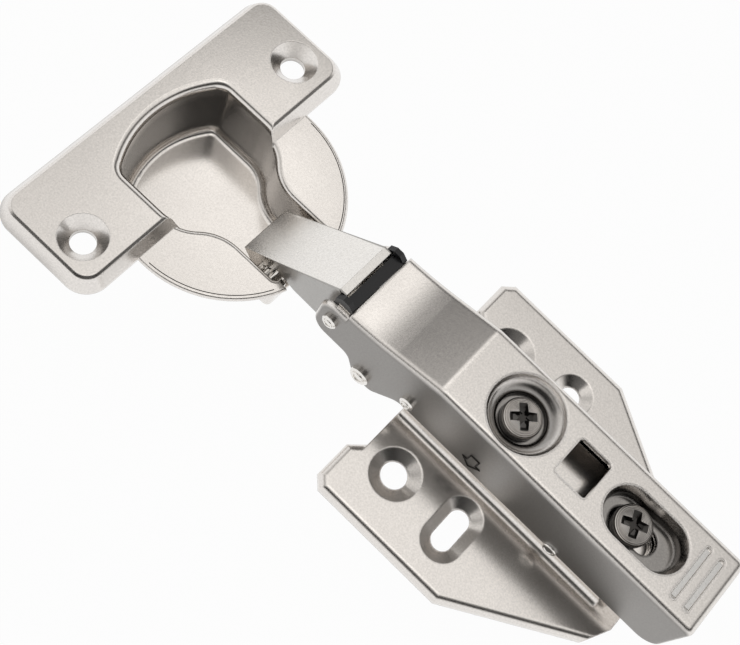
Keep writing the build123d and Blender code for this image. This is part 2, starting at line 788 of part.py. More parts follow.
# ---------------------------------------------------------------- adapter in the arm
with BuildPart() as adapter_channel:
    foot = box_top + seat_gap
    with BuildSketch(side_plane()):
        with BuildLine():
            Polyline(
                (-adapter_back, adapter_top),
                (adapter_front, adapter_top),
                (adapter_front, foot),
                (-box_back - adapter_sheet, foot),
                (-adapter_back, foot + adapter_heel),
                close=True,
            )
        make_face()
    extrude(amount=adapter_half, both=True)
    top_edges = adapter_channel.edges().filter_by(Axis.X).group_by(Axis.Z)[-1]
    fillet(top_edges, adapter_sheet * 0.8)
    with BuildSketch(Plane.XY):
        Rectangle(4 * adapter_back, 2 * (adapter_half - adapter_sheet))
    extrude(amount=adapter_top - adapter_sheet, mode=Mode.SUBTRACT)
    # slot for the boss of the slide plate, hole of the depth screw
    with BuildSketch(Plane.XY.offset(adapter_top)):
        with Locations((dish_x + (travel_front - travel_back) / 2, 0)):
            SlotCenterToCenter(travel_back + travel_front, 2 * (boss_r + side_gap))
        with Locations((cam_x, 0)):
            Circle(screw_neck_r + running_gap)
    extrude(amount=-2 * adapter_sheet, mode=Mode.SUBTRACT)
    with BuildSketch(side_plane()):
        with Locations((hook_x, hook_pin_z)):
            Circle(front_pin_r)
        with Locations((lever_pin_x, lever_pin_z)):
            Circle(lever_pin_r)
    extrude(amount=adapter_half, both=True, mode=Mode.SUBTRACT)
adapter_channel.part.label = "adapter_channel"
export_step(adapter_channel.part, "parts/adapter_channel.step")

for name, place, radius in (
    ("front_pin", (hook_x, hook_pin_z), front_pin_r),
    ("lever_pin", (lever_pin_x, lever_pin_z), lever_pin_r),
):
    with BuildPart() as adapter_pin:
        with BuildSketch(side_plane()):
            with Locations(place):
                Circle(radius)
        extrude(amount=adapter_half, both=True)
        chamfer(adapter_pin.edges().filter_by(GeomType.CIRCLE), pin_bevel)
    adapter_pin.part.label = name
    export_step(adapter_pin.part, f"parts/{name}.step")

with BuildPart() as slide_plate:
    with BuildSketch(Plane.XY.offset(slide_low)):
        with Locations(((slide_front - slide_back) / 2, 0)):
            RectangleRounded(slide_front + slide_back, 2 * slide_half, slide_corner)
    extrude(amount=slide_sheet)
    # pad that carries the rear of the arm
    with BuildSketch(Plane.XY.offset(slide_low)):
        with Locations((cam_x, 0)):
            Rectangle(pad_length, 2 * slot_dish_floor_half)
    extrude(amount=slide_pad_top - slide_low)
    # threaded boss of the overlay screw
    with BuildSketch(Plane.XY.offset(slide_low + slide_sheet)):
        with Locations((dish_x, 0)):
            Circle(boss_r)
    extrude(amount=-slide_sheet - adapter_sheet * 2.6)
    with BuildSketch(Plane.XY):
        with Locations((dish_x, 0)):
            Circle(screw_neck_r + free_gap)
        with Locations((cam_x + (travel_back - travel_front) / 2, 0)):
            SlotCenterToCenter(travel_back + travel_front, 2 * (screw_neck_r + side_gap))
    extrude(amount=arm_top, mode=Mode.SUBTRACT)
slide_plate.part.label = "slide_plate"
export_step(slide_plate.part, "parts/slide_plate.step")


# ---------------------------------------------------------------- adjusting screws
def screw_profile(x, steps):
    """Half section of a screw about the upright axis at x, from radius and height steps."""
    with BuildSketch(side_plane()) as section:
        with BuildLine():
            crown_edge = (x + screw_head_r, head_crown - screw_dome)
            Line((x, head_seat), (x, head_crown))
            TangentArc((x, head_crown), crown_edge, tangent=(1, 0))
            points = [crown_edge, (x + screw_head_r, head_seat)]
            points += [(x + radius, z) for radius, z in steps]
            Polyline(*points, (x, steps[-1][1]), (x, head_seat))
        make_face()
    return section.sketch


for name, x, steps in (
    (
        "overlay_screw",
        dish_x,
        [
            (screw_neck_r, head_seat),
            (screw_neck_r, dish_floor_z - arm_sheet - seat_gap),
            (collar_r, dish_floor_z - arm_sheet - seat_gap),
            (collar_r, slide_low + slide_sheet + side_gap),
            (screw_neck_r, slide_low + slide_sheet + side_gap),
            (screw_neck_r, overlay_screw_tip + screw_tip),
            (screw_neck_r - screw_tip, overlay_screw_tip),
        ],
    ),
    (
        "depth_screw",
        cam_x,
        [
            (screw_neck_r, head_seat),
            (screw_neck_r, adapter_top - adapter_sheet - seat_gap),
            (collar_r, adapter_top - adapter_sheet - seat_gap),
            (collar_r, adapter_top - adapter_sheet - screw_tip),
            (screw_neck_r - screw_tip / 2, adapter_top - adapter_sheet - 1.5 * screw_tip),
        ],
    ),
):
    with BuildPart() as screw:
        add(screw_profile(x, steps))
        revolve(axis=Axis((x, 0, 0), (0, 0, 1)))
        with BuildSketch(Plane.XY.offset(head_crown + screw_dome)):
            with Locations((x, 0)):
                Rectangle(1.5 * screw_head_r, cross_width)
                Rectangle(cross_width, 1.5 * screw_head_r)
        extrude(amount=-screw_dome - cross_depth, taper=cross_taper, mode=Mode.SUBTRACT)
    screw.part.label = name
    export_step(screw.part, f"parts/{name}.step")

# ---------------------------------------------------------------- clip lever
lever_low = box_top - plate_sheet - lever_nose - side_gap
with BuildPart() as release_lever:
    with BuildSketch(side_plane()) as lever_view:
        with BuildLine():
            stem_front = -box_back - free_gap
            nose_top = box_top - plate_sheet - side_gap
            Polyline(
                (lever_pin_x + lever_eye_r * 0.8, lever_pin_z),
                (stem_front, lever_pin_z - lever_eye_r),
                (stem_front, nose_top),
                (stem_front + lever_nose, nose_top),
                (stem_front + lever_nose * 0.6, lever_low),
                (stem_front - lever_thick, lever_low),
                (stem_front - lever_thick * 1.2, lever_pin_z - lever_eye_r),
                (lever_pin_x - lever_eye_r, lever_pin_z - lever_thick * 1.2),
                (-arm_back + arm_sheet, lever_pin_z - lever_thick * 1.2),
                (-arm_back + arm_sheet, lever_pin_z - lever_thick * 0.2),
                (lever_pin_x, lever_pin_z + lever_thick * 0.6),
                close=True,
            )
        make_face()
        with Locations((lever_pin_x, lever_pin_z)):
            Circle(lever_eye_r)
            Circle(lever_pin_r + running_gap, mode=Mode.SUBTRACT)
    extrude(amount=lever_half, both=True)
    with BuildSketch(side_plane()):
        with Locations((lever_pin_x, lever_pin_z)):
            Circle(lever_eye_r + side_gap)
    extrude(amount=lever_half * 0.4, both=True, mode=Mode.SUBTRACT)
release_lever.part.label = "release_lever"
export_step(release_lever.part, "parts/release_lever.step")


# ---------------------------------------------------------------- springs
def coil(x, z, mean_r, wire_r, turns, legs):
    """Coil about a line across the arm, with two straight legs; the first leg points up."""
    pitch = coil_pitch * wire_r
    with BuildLine() as path:
        Helix(pitch=pitch, height=pitch * turns, radius=mean_r, direction=(0, 1, 0))
    line = path.line.moved(Location((0, -pitch * turns / 2, 0))).rotate(Axis.Y, 90)
    line = line.moved(Location((x, 0, z)))
    with BuildPart() as wound:
        with BuildSketch(Plane(origin=line @ 0, z_dir=line % 0)):
            Circle(wire_r)
        sweep(path=line, is_frenet=True)
        for end, outwards, length in ((0, -1, legs[0]), (1, 1, legs[1])):
            with BuildSketch(Plane(origin=line @ end, z_dir=(line % end) * outwards)):
                Circle(wire_r)
            extrude(amount=length)
    return wound.part


# the first leg ends under the arm's top, or under the adapter's
closing_leg_x = spring_pivot_x + spring_coil_r
leg_nose_drop = (closing_leg_x + spring_wire_r - arm_bend_x) * tan(radians(nose_slope))
closing_leg_top = arm_top - leg_nose_drop - arm_sheet - side_gap
lever_leg_top = adapter_top - adapter_sheet - side_gap
for name, place, mean_r, wire_r, turns, legs in (
    (
        "closing_spring",
        spring_pivot,
        spring_coil_r,
        spring_wire_r,
        spring_turns - spring_leg_turn,
        (closing_leg_top - spring_pivot_z, spring_leg),
    ),
    (
        "lever_spring",
        (lever_pin_x, lever_pin_z),
        lever_coil_r,
        lever_wire_r,
        lever_turns + lever_leg_turn,
        (lever_leg_top - lever_pin_z, lever_wire_r * 2),
    ),
):
    spring = coil(*place, mean_r, wire_r, turns, legs)
    spring.label = name
    export_step(spring, f"parts/{name}.step")

# ---------------------------------------------------------------- damper
damper_axis = Plane(origin=(damper_front, 0, damper_z), x_dir=(0, 1, 0), z_dir=(-1, 0, 0))
with BuildPart() as damper_housing:
    with BuildSketch(damper_axis):
        RectangleRounded(
            2 * (arm_half - arm_sheet - seat_gap),
            2 * (damper_r + damper_wall),
            damper_corner,
        )
        Circle(damper_r + seat_gap, mode=Mode.SUBTRACT)
    extrude(amount=damper_length)
damper_housing.part.label = "damper_housing"
export_step(damper_housing.part, "parts/damper_housing.step")

with BuildPart() as damper_cylinder:
    with BuildSketch(damper_axis):
        Circle(damper_r)
    extrude(amount=damper_length)
    chamfer(damper_cylinder.edges().filter_by(GeomType.CIRCLE), damper_bevel)
    with BuildSketch(damper_axis.offset(damper_cap)):
        Circle(damper_r - damper_tube)
    extrude(amount=damper_length - 2 * damper_cap, mode=Mode.SUBTRACT)
    with BuildSketch(damper_axis):
        Circle(damper_rod_r + running_gap)
    extrude(amount=damper_length / 2, mode=Mode.SUBTRACT)
damper_cylinder.part.label = "damper_cylinder"
export_step(damper_cylinder.part, "parts/damper_cylinder.step")

with BuildPart() as damper_rod:
    with BuildSketch(damper_axis.offset(-damper_rod_reach)):
        Circle(damper_rod_r)
    extrude(amount=damper_rod_reach + damper_cap + damper_piston / 2)
    with BuildSketch(damper_axis.offset(-damper_rod_reach)):
        Circle(2 * damper_rod_r)
    extrude(amount=damper_head)
    with BuildSketch(damper_axis.offset(damper_cap + side_gap)):
        Circle(damper_r - damper_tube - running_gap)
    extrude(amount=damper_piston)
damper_rod.part.label = "damper_rod"
export_step(damper_rod.part, "parts/damper_rod.step")

# ---------------------------------------------------------------- front guide
guide_outside = arm_half - arm_sheet - seat_gap
guide_inside = link_back_half + guide_play
with BuildPart() as front_guide:
    with BuildSketch(side_plane()) as guide_bar:
        with Locations((guide_bar_x + guide_bar_width / 2, (guide_bar_low + guide_bar_top) / 2)):
            Rectangle(guide_bar_width, guide_bar_top - guide_bar_low)
    extrude(amount=guide_outside, both=True)
    for side in (-1, 1):
        with BuildSketch(side_plane(side * guide_outside)):
            with BuildLine():
                Polyline(
                    (guide_ear_back, guide_bar_low - guide_ear_drop),
                    (guide_ear_back, guide_bar_top),
                    (guide_ear_back + guide_ear_bevel, guide_ear_top),
                    (guide_ear_front - guide_ear_bevel, guide_ear_top),
                    (guide_ear_front, guide_bar_top),
                    (guide_ear_front, guide_bar_low),
                    (guide_ear_front - guide_ear_chin, guide_bar_low - guide_ear_drop),
                    close=True,
                )
            make_face()
        extrude(amount=side * (guide_outside - guide_inside))
        with BuildSketch(side_plane(side * guide_outside)):
            with Locations((tab_x + tab_length / 2, tab_top - guide_tab_height / 2)):
                Rectangle(tab_length, guide_tab_height)
        extrude(amount=side * guide_tab_sheet, mode=Mode.SUBTRACT)
front_guide.part.label = "front_guide"
export_step(front_guide.part, "parts/front_guide.step")

with BuildPart() as guide_tabs:
    for side in (-1, 1):
        with BuildSketch(side_plane(side * guide_outside)):
            with Locations((tab_x + tab_length / 2, tab_top - guide_tab_height / 2)):
                Rectangle(tab_length, guide_tab_height)
        extrude(amount=side * guide_tab_sheet)
guide_tabs.part.label = "guide_tabs"
export_step(guide_tabs.part, "parts/guide_tabs.step")
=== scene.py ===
# %% [markdown]
# # A concealed cup hinge
# A cup hinge holds a cabinet door from the inside. Its parts are stamped from sheet
# steel and plated, so nearly everything here is bare metal. Metal shows the room more
# than it shows itself, so this lesson spends its effort on the finish, the rounded
# edges and the light, and on the small pressed details.
#
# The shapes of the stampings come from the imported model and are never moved. The
# cells below set the camera, make the finishes, add the small pieces, and light it.

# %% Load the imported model
import json

import bmesh
import bpy
from math import cos, radians, sin, tau
from mathutils import Matrix, Vector


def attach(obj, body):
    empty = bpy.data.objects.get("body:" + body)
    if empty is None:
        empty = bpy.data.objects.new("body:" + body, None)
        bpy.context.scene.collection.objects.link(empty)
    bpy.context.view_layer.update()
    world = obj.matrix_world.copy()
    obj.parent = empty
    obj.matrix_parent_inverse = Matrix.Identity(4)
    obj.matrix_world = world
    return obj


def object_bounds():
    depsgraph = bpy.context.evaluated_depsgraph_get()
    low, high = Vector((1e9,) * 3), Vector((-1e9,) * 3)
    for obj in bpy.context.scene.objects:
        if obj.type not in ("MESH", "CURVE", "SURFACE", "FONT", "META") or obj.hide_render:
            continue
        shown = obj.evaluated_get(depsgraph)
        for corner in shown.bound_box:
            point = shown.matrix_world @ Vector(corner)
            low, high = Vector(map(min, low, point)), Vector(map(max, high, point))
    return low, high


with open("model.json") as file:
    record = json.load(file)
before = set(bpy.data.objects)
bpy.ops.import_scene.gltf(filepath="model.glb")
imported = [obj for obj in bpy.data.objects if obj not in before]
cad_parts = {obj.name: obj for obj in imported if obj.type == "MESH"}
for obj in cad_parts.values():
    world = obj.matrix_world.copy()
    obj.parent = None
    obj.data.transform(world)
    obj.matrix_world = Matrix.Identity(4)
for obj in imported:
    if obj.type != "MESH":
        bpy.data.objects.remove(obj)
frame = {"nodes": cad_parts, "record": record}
cad_box = [list(corner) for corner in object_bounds()]
nodes = frame["nodes"]
MM = 0.001
scene = bpy.context.scene


# %% [markdown]
# ## Camera
# The hinge is seen from above its side, with the cup at the upper left. The camera is
# placed from three directions: where it looks, and where its right and its down point.

# %% Set the camera
def camera_turn(right, down, forward):
    """Rotation of a camera from its right, down and forward directions."""
    turn = Matrix((Vector(right), -Vector(down), -Vector(forward))).transposed()
    return turn.to_4x4()


image_width = 740
focal_px = 1347.426
sensor = 36.0
camera_data = bpy.data.cameras.new("camera")
camera_data.sensor_width = sensor
camera_data.lens = focal_px * sensor / image_width
camera_data.clip_start = 0.01
camera_data.clip_end = 10
camera = bpy.data.objects.new("camera", camera_data)
camera_place = Vector((12.572, 87.689, 200.937)) * MM
camera_right = (-0.71618, -0.65418, 0.24318)
camera_down = (-0.69523, 0.63815, -0.33080)
camera_forward = (0.06122, -0.40597, -0.91183)
camera.matrix_world = Matrix.Translation(camera_place) @ camera_turn(
    camera_right, camera_down, camera_forward
)
scene.collection.objects.link(camera)
scene.camera = camera
print("lens", round(camera_data.lens, 2), "mm")


# %% [markdown]
# ## Effects shared by the finishes
# The plating on a stamping is never a perfect mirror: the sheet keeps a fine grain, and
# its shine drifts from place to place. Each effect is a node group, built once and
# placed in every metal with its own values. Painting it on an image would need an
# unwrapped sheet, and noise in space needs none.

# %% Helpers for node groups
def new_group(name, inputs, outputs):
    """Shader group with named sockets; returns the group, its input and its output node."""
    group = bpy.data.node_groups.new(name, "ShaderNodeTree")
    for label, kind, value in inputs:
        socket = group.interface.new_socket(label, in_out="INPUT", socket_type=kind)
        socket.default_value = value
    for label, kind in outputs:
        group.interface.new_socket(label, in_out="OUTPUT", socket_type=kind)
    entry = group.nodes.new("NodeGroupInput")
    leave = group.nodes.new("NodeGroupOutput")
    return group, entry, leave


def add_node(tree, kind, **settings):
    """Node with its properties and unlinked inputs set by name."""
    node = tree.nodes.new(kind)
    for key, value in settings.items():
        if hasattr(node, key):
            setattr(node, key, value)
        else:
            node.inputs[key].default_value = value
    return node


def plug(tree, value, socket):
    """Feed a socket from another socket, or set it to a plain value."""
    if isinstance(value, bpy.types.NodeSocket):
        tree.links.new(value, socket)
    else:
        socket.default_value = value


def math_node(tree, operation, *values):
    """Output of a Math node fed by sockets or numbers."""
    node = add_node(tree, "ShaderNodeMath", operation=operation)
    for value, socket in zip(values, node.inputs):
        plug(tree, value, socket)
    return node.outputs[0]


def vector_node(tree, operation, *values):
    """Output of a Vector Math node fed by sockets or vectors."""
    node = add_node(tree, "ShaderNodeVectorMath", operation=operation)
    for value, socket in zip(values, node.inputs):
        plug(tree, value, socket)
    return node.outputs["Value" if operation in ("DOT_PRODUCT", "LENGTH") else "Vector"]


def fade(tree, value, start, end, to=(0.0, 1.0), kind="LINEAR"):
    """Output that goes from one value to the other between start and end."""
    node = add_node(tree, "ShaderNodeMapRange", interpolation_type=kind)
    plug(tree, value, node.inputs["Value"])
    labels = ("From Min", "From Max", "To Min", "To Max")
    for source, label in zip((start, end, *to), labels):
        plug(tree, source, node.inputs[label])
    return node.outputs["Result"]


FLOAT = "NodeSocketFloat"
VECTOR = "NodeSocketVector"
PER_MM = 1 / MM
print("helpers ready")

# %% Plating grain
grain, entry, leave = new_group(
    "plating_grain",
    [
        ("Position", VECTOR, (0, 0, 0)),
        ("Grain size", FLOAT, 0.3),
        ("Drift size", FLOAT, 9.0),
        ("Roughness low", FLOAT, 0.2),
        ("Roughness high", FLOAT, 0.3),
    ],
    [("Roughness", FLOAT), ("Height", FLOAT), ("Speckle", FLOAT)],
)
noise = {}
for label, detail, roughness in (("Grain size", 2.0, 0.6), ("Drift size", 3.0, 0.5)):
    cloud = add_node(grain, "ShaderNodeTexNoise", Detail=detail, Roughness=roughness)
    plug(grain, entry.outputs["Position"], cloud.inputs["Vector"])
    scale = math_node(grain, "DIVIDE", PER_MM, entry.outputs[label])
    plug(grain, scale, cloud.inputs["Scale"])
    noise[label] = cloud.outputs["Fac"]
noise_low, noise_high = 0.3, 0.7
between_roughness = (entry.outputs["Roughness low"], entry.outputs["Roughness high"])
shine = fade(grain, noise["Drift size"], noise_low, noise_high, to=between_roughness)
speck = fade(grain, noise["Grain size"], noise_low, noise_high)
plug(grain, shine, leave.inputs["Roughness"])
plug(grain, noise["Grain size"], leave.inputs["Height"])
plug(grain, speck, leave.inputs["Speckle"])
print("group", grain.name)

# %% [markdown]
# ## Masks on the stampings
# The side plates, the dishes and the rear walls of the cup look darker than the flat
# tops, from what they mirror and the shade that falls in them. The tints that use these
# masks paint that shade into the colour, as painted shade, and the added roughness
# stands for a duller finish. How much of that is their finish, and how much only what
# they mirror, isn't known, so the tints that use these masks are a guess. Splitting the
# meshes would do it too, but a mask by position leaves them alone and can be turned off
# in one place.

# %% Mask of the side plates and the dishes
side_mask, entry, leave = new_group(
    "side_mask",
    [
        ("Position", VECTOR, (0, 0, 0)),
        ("Start", FLOAT, 7.1 * MM),
        ("End", FLOAT, 7.4 * MM),
    ],
    [("Dull", FLOAT), ("Painted shade", FLOAT)],
)
parts = add_node(side_mask, "ShaderNodeSeparateXYZ")
plug(side_mask, entry.outputs["Position"], parts.inputs[0])
across = math_node(side_mask, "ABSOLUTE", parts.outputs["Y"])
plates = fade(side_mask, across, entry.outputs["Start"], entry.outputs["End"])
# the dishes lie below the arm's top, behind its bend and between its side plates
below_top = fade(side_mask, parts.outputs["Z"], 18.3 * MM, 19.2 * MM, to=(1.0, 0.0))
behind_bend = fade(side_mask, parts.outputs["X"], 5.5 * MM, 6.5 * MM, to=(1.0, 0.0))
between_plates = fade(side_mask, across, 6.2 * MM, 6.6 * MM, to=(1.0, 0.0))
dishes = math_node(side_mask, "MULTIPLY", below_top, behind_bend)
dishes = math_node(side_mask, "MULTIPLY", dishes, between_plates)
plug(side_mask, plates, leave.inputs["Dull"])
# the dark output darkens the tint of the side plates and the dishes: painted shade
plug(side_mask, math_node(side_mask, "MAXIMUM", dishes, plates), leave.inputs["Painted shade"])
print("group", side_mask.name)

# %% Mask of the cup's rear walls
cup_middle = Vector((57.46, 0, 6.09)) * MM
cup_tilt = radians(2.59)
cup_along = Vector((cos(cup_tilt), 0, -sin(cup_tilt)))
cup_up = Vector((sin(cup_tilt), 0, cos(cup_tilt)))
cup_wall_shade_mask, entry, leave = new_group(
    "cup_wall_shade_mask",
    [
        ("Position", VECTOR, (0, 0, 0)),
        ("Top", FLOAT, 0.8 * MM),
        ("Foot", FLOAT, 12.8 * MM),
    ],
    [("Dull", FLOAT), ("Painted shade", FLOAT)],
)
from_middle = vector_node(cup_wall_shade_mask, "SUBTRACT", entry.outputs["Position"], cup_middle)
depth = vector_node(cup_wall_shade_mask, "DOT_PRODUCT", from_middle, -cup_up)
along = vector_node(cup_wall_shade_mask, "DOT_PRODUCT", from_middle, cup_along)
top, foot = entry.outputs["Top"], entry.outputs["Foot"]
top_end = math_node(cup_wall_shade_mask, "ADD", top, 3 * MM)
foot_start = math_node(cup_wall_shade_mask, "SUBTRACT", foot, 2 * MM)
below = fade(cup_wall_shade_mask, depth, top, top_end, kind="SMOOTHSTEP")
above = fade(cup_wall_shade_mask, depth, foot_start, foot, to=(1.0, 0.0), kind="SMOOTHSTEP")
rear = fade(cup_wall_shade_mask, along, 3 * MM, 11 * MM, kind="SMOOTHSTEP")
wall = math_node(cup_wall_shade_mask, "MULTIPLY", below, above)
wall = math_node(cup_wall_shade_mask, "MULTIPLY", wall, rear)
plug(cup_wall_shade_mask, wall, leave.inputs["Dull"])
# the dark output darkens the tint of the rear walls inside the cup: painted shade
plug(cup_wall_shade_mask, wall, leave.inputs["Painted shade"])
print("group", cup_wall_shade_mask.name)

# %% [markdown]
# ## Rings of the lathe
# A turned screw head keeps fine rings round its middle. They are too small to model, so
# a sine of the distance from the head's axis gives their height to a bump.

# %% Turned rings
turned, entry, leave = new_group(
    "turned_rings",
    [
        ("Position", VECTOR, (0, 0, 0)),
        ("Centre", VECTOR, (0, 0, 0)),
        ("Pitch", FLOAT, 0.25),
    ],
    [("Height", FLOAT)],
)
moved = vector_node(turned, "SUBTRACT", entry.outputs["Position"], entry.outputs["Centre"])
flat = vector_node(turned, "MULTIPLY", moved, (PER_MM, PER_MM, 0))
radius = vector_node(turned, "LENGTH", flat)
turns = math_node(turned, "DIVIDE", radius, entry.outputs["Pitch"])
wave = math_node(turned, "SINE", math_node(turned, "MULTIPLY", turns, tau))
plug(turned, wave, leave.inputs["Height"])
print("group", turned.name)

# %% [markdown]
# ## Finishes
# Every metal is one shader with a tint and a roughness. The speckle moves the tint a
# little, the grain gives a small bump, and a Bevel node rounds the edges that the
# stamping press rounds, without a change to the mesh. The black guide is plain plastic.

# %% Metal finish
def metal(
    name,
    tint,
    rough,
    bump,
    edge_radius,
    mask=None,
    masked=(1.0, 0.0),
    masked_from=None,
    centre=None,
):
    """Plated metal.

    It takes a tint, low and high roughness, strength of the grain and edge rounding in
    mm. Where a mask group holds, masked multiplies the tint, as painted shade, and adds to
    the roughness, and masked_from says where the mask starts and ends, in mm. centre is
    the axis of the turned rings on a screw head, in mm.
    """
    material = bpy.data.materials.new(name)
    material.use_nodes = True
    tree = material.node_tree
    shader = tree.nodes["Principled BSDF"]
    shader.inputs["Metallic"].default_value = 1.0
    place = add_node(tree, "ShaderNodeTexCoord")
    group = add_node(tree, "ShaderNodeGroup", node_tree=grain)
    tree.links.new(place.outputs["Object"], group.inputs["Position"])
    group.inputs["Roughness low"].default_value = rough[0]
    group.inputs["Roughness high"].default_value = rough[1]
    dark_speck, bright_speck = 0.9, 1.05
    colour = add_node(tree, "ShaderNodeMix", data_type="RGBA")
    colour.inputs["A"].default_value = (*[dark_speck * c for c in tint], 1)
    colour.inputs["B"].default_value = (*[min(bright_speck * c, 1) for c in tint], 1)
    tree.links.new(group.outputs["Speckle"], colour.inputs["Factor"])
    colour_out = colour.outputs["Result"]
    rough_out = group.outputs["Roughness"]
    if mask is not None:
        where_masked = add_node(tree, "ShaderNodeGroup", node_tree=mask)
        tree.links.new(place.outputs["Object"], where_masked.inputs["Position"])
        if masked_from is not None:
            where_masked.inputs["Start"].default_value = masked_from[0] * MM
            where_masked.inputs["End"].default_value = masked_from[1] * MM
        # painted shade: the mask's dark share multiplies the tint
        painted_shade = add_node(tree, "ShaderNodeMix", data_type="RGBA", blend_type="MULTIPLY")
        painted_shade.inputs["B"].default_value = (masked[0], masked[0], masked[0], 1)
        tree.links.new(where_masked.outputs["Painted shade"], painted_shade.inputs["Factor"])
        tree.links.new(colour_out, painted_shade.inputs["A"])
        colour_out = painted_shade.outputs["Result"]
        rough_out = math_node(
            tree, "MULTIPLY_ADD", where_masked.outputs["Dull"], masked[1], rough_out
        )
    tree.links.new(colour_out, shader.inputs["Base Color"])
    tree.links.new(rough_out, shader.inputs["Roughness"])
    soft = add_node(tree, "ShaderNodeBevel", samples=6, Radius=edge_radius * MM)
    relief = add_node(tree, "ShaderNodeBump", Strength=bump, Distance=0.01 * MM)
    tree.links.new(group.outputs["Height"], relief.inputs["Height"])
    tree.links.new(soft.outputs["Normal"], relief.inputs["Normal"])
    normal_out = relief.outputs["Normal"]
    if centre is not None:
        rings = add_node(tree, "ShaderNodeGroup", node_tree=turned)
        tree.links.new(place.outputs["Object"], rings.inputs["Position"])
        rings.inputs["Centre"].default_value = Vector(centre) * MM
        cut = add_node(tree, "ShaderNodeBump", Strength=0.9, Distance=0.03 * MM)
        tree.links.new(rings.outputs["Height"], cut.inputs["Height"])
        tree.links.new(normal_out, cut.inputs["Normal"])
        normal_out = cut.outputs["Normal"]
    tree.links.new(normal_out, shader.inputs["Normal"])
    return material


def plastic(name, tint, rough):
    """Moulded plastic with one tint and roughness."""
    material = bpy.data.materials.new(name)
    material.use_nodes = True
    shader = material.node_tree.nodes["Principled BSDF"]
    shader.inputs["Base Color"].default_value = (*tint, 1)
    shader.inputs["Roughness"].default_value = rough
    return material


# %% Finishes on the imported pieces
nickel = (0.80, 0.765, 0.73)
pale_nickel = (0.86, 0.835, 0.80)
finishes = {
    "plated_steel": metal("plated_steel", nickel, (0.17, 0.2), 0.3, 0.2),
    "bright_steel": metal("bright_steel", pale_nickel, (0.14, 0.18), 0.2, 0.06),
    "spring_steel": metal("spring_steel", (0.42, 0.40, 0.38), (0.25, 0.35), 0.3, 0.05),
    "black_plastic": plastic("black_plastic", (0.012, 0.012, 0.014), 0.35),
}
special = {
    # the cup's rear walls, the arm's side plates and dishes and the link's side flanges get
    # a darker tint from their masks: painted shade, with more roughness for a duller finish
    "hinge_cup": metal(
        "cup_steel_with_painted_shade", nickel, (0.17, 0.2), 0.3, 0.25, mask=cup_wall_shade_mask, masked=(0.5, 0.05)
    ),
    "arm_body": metal(
        "arm_steel_with_painted_shade", nickel, (0.17, 0.2), 0.3, 0.6, mask=side_mask, masked=(0.4, 0.22)
    ),
    "mounting_plate": metal("pressed_steel", nickel, (0.17, 0.21), 0.3, 0.45),
    "outer_link": metal(
        "link_steel_with_painted_shade",
        pale_nickel,
        (0.2, 0.24),
        0.3,
        0.2,
        mask=side_mask,
        masked=(0.5, 0.1),
        masked_from=(4.95, 5.05),
    ),
    "overlay_screw": metal("shank_steel", (0.09, 0.086, 0.082), (0.25, 0.3), 0.2, 0.1),
}
special["depth_screw"] = special["overlay_screw"]
slot_of = {s["node"]: s["material_slot"] for s in frame["record"]["subparts"]}
for name, node in nodes.items():
    for slot in node.material_slots:
        slot.material = special.get(name, finishes[slot_of[name]])
print("finishes:", sorted(finishes) + sorted(special))

# %% [markdown]
# ## Small pieces
# Some details are too small for the solid models: a small arrow on the side plate,
# a bead round the cover of the cup, bright floors in the grip grooves, hollow rivet
# ends and deep crosses in the screw heads. Lines are thin round wires along a path,
# because a wire also shows from the side, where a painted line would be flat. The
# wires are near-black, as painted shade of the lines they stand for.


# %% Helpers for small pieces
def mesh_piece(name, verts, faces, material, body, smooth=False):
    """Mesh from points in mm, with its finish, riding on a body, if one is given."""
    mesh = bpy.data.meshes.new(name)
    mesh.from_pydata([Vector(v) * MM for v in verts], [], faces)
    mesh.materials.append(material)
    shape = bmesh.new()
    shape.from_mesh(mesh)
    bmesh.ops.recalc_face_normals(shape, faces=shape.faces)
    shape.to_mesh(mesh)
    shape.free()
    for face in mesh.polygons:
        face.use_smooth = smooth
    piece = bpy.data.objects.new(name, mesh)
    scene.collection.objects.link(piece)
    if body is not None:
        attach(piece, body)
    return piece


def wire(path, radius, closed, sides=8):
    """Points and faces of a round wire along a path of points in mm."""
    verts = []
    faces = []
    count = len(path)
    for i, point in enumerate(path):
        here = Vector(point)
        after = Vector(path[(i + 1) % count]) if closed or i < count - 1 else here
        before = Vector(path[i - 1]) if closed or i > 0 else here
        run = (after - before).normalized()
        steep = abs(run.z) >= 0.9
        side = run.cross(Vector((0, 1, 0) if steep else (0, 0, 1)))
        side.normalize()
        up = run.cross(side)
        for k in range(sides):
            turn = tau * k / sides
            verts.append(here + radius * (cos(turn) * side + sin(turn) * up))
    for i in range(count if closed else count - 1):
        j = (i + 1) % count
        for k in range(sides):
            m = (k + 1) % sides
            faces.append((i * sides + k, i * sides + m, j * sides + m, j * sides + k))
    if not closed:
        faces.append(tuple(range(sides - 1, -1, -1)))
        faces.append(tuple((count - 1) * sides + k for k in range(sides)))
    return verts, faces


print("helpers ready")

# %% [markdown]
# ## Arrow on the side plate
# The side plate carries a small hollow arrow, probably a direction mark for fitting. It
# is an outline pressed into the sheet. A groove that fine would need a dense mesh, and a
# closed near-black wire sunk to half its thickness gives the same dark line, as painted
# shade of the groove.

# %% Arrow
arm_half = 7.45
arrow_middle = (-0.8, 9.6)
arrow_outline = [
    (-0.85, 1.9),
    (0.85, 1.9),
    (0.85, -0.2),
    (1.75, -0.2),
    (0.0, -2.0),
    (-1.75, -0.2),
    (-0.85, -0.2),
]
arrow_line = 0.17
side_steps = 6
line = [(arrow_middle[0] + x, arm_half, arrow_middle[1] + z) for x, z in arrow_outline]
path = []
for start, end in zip(line, line[1:] + line[:1]):
    for step in range(side_steps):
        path.append([a + (b - a) * step / side_steps for a, b in zip(start, end)])
